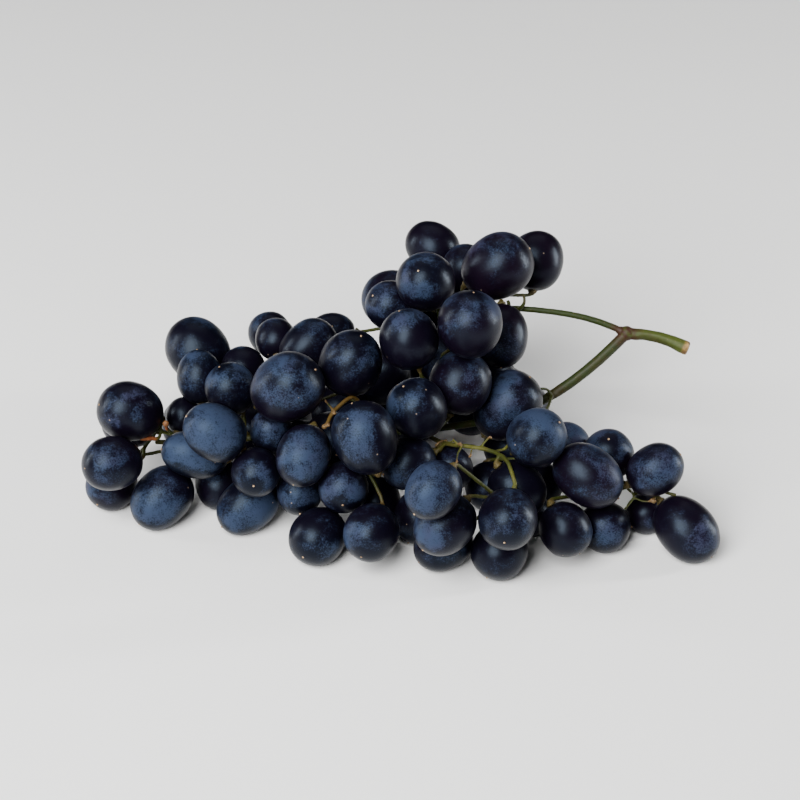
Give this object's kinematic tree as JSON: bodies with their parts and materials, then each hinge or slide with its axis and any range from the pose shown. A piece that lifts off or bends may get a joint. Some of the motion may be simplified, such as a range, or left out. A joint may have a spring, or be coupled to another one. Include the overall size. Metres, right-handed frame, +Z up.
{
  "type": "bunch of grapes",
  "caption": "Bunch of black grapes lying down, egg-round bloomed berries heaped round a forked, branching green stem with a cut stalk end",
  "frame": {"origin": "On the surface that the bunch rests on, under the middle of its bounding box", "axes": "+Z up. +X runs along the bunch towards the cut end of the stalk. -Y is the front, where the heap slopes down."},
  "size_m": [0.2224, 0.1512, 0.0839],
  "materials": {
    "grapes": "dark blue-black skin with a dusty grey-blue bloom",
    "stem": "olive green and brown fresh stem, tan at the cut"
  },
  "bodies": {
    "root": {"back_left_grapes": "grapes", "back_middle_grapes": "grapes", "back_shoulder_grapes": "grapes", "front_1_grape": "grapes", "front_2_grape": "grapes", "front_3_grape": "grapes", "front_4_grape": "grapes", "front_5_grape": "grapes", "front_6_grape": "grapes", "front_7_grape": "grapes", "front_8_grape": "grapes", "front_9_grape": "grapes", "front_10_grape": "grapes", "front_11_grape": "grapes", "front_12_grape": "grapes", "inner_grapes": "grapes", "left_1_grape": "grapes", "left_2_grape": "grapes", "left_3_grape": "grapes", "left_4_grape": "grapes", "left_5_grape": "grapes", "left_6_grape": "grapes", "left_7_grape": "grapes", "left_8_grape": "grapes", "left_9_grape": "grapes", "left_10_grape": "grapes", "left_11_grape": "grapes", "left_12_grape": "grapes", "left_13_grape": "grapes", "left_14_grape": "grapes", "left_15_grape": "grapes", "middle_1_grape": "grapes", "middle_2_grape": "grapes", "middle_3_grape": "grapes", "middle_4_grape": "grapes", "middle_5_grape": "grapes", "middle_6_grape": "grapes", "middle_7_grape": "grapes", "middle_8_grape": "grapes", "middle_9_grape": "grapes", "middle_10_grape": "grapes", "middle_11_grape": "grapes", "right_1_grape": "grapes", "right_2_grape": "grapes", "right_3_grape": "grapes", "shoulder_1_grape": "grapes", "shoulder_2_grape": "grapes", "shoulder_3_grape": "grapes", "shoulder_4_grape": "grapes", "shoulder_5_grape": "grapes", "shoulder_6_grape": "grapes", "shoulder_7_grape": "grapes", "shoulder_8_grape": "grapes", "shoulder_9_grape": "grapes", "shoulder_10_grape": "grapes", "shoulder_11_grape": "grapes", "shoulder_12_grape": "grapes", "shoulder_13_grape": "grapes", "stem": "stem", "under_grapes": "grapes"}
  },
  "joints": []
}
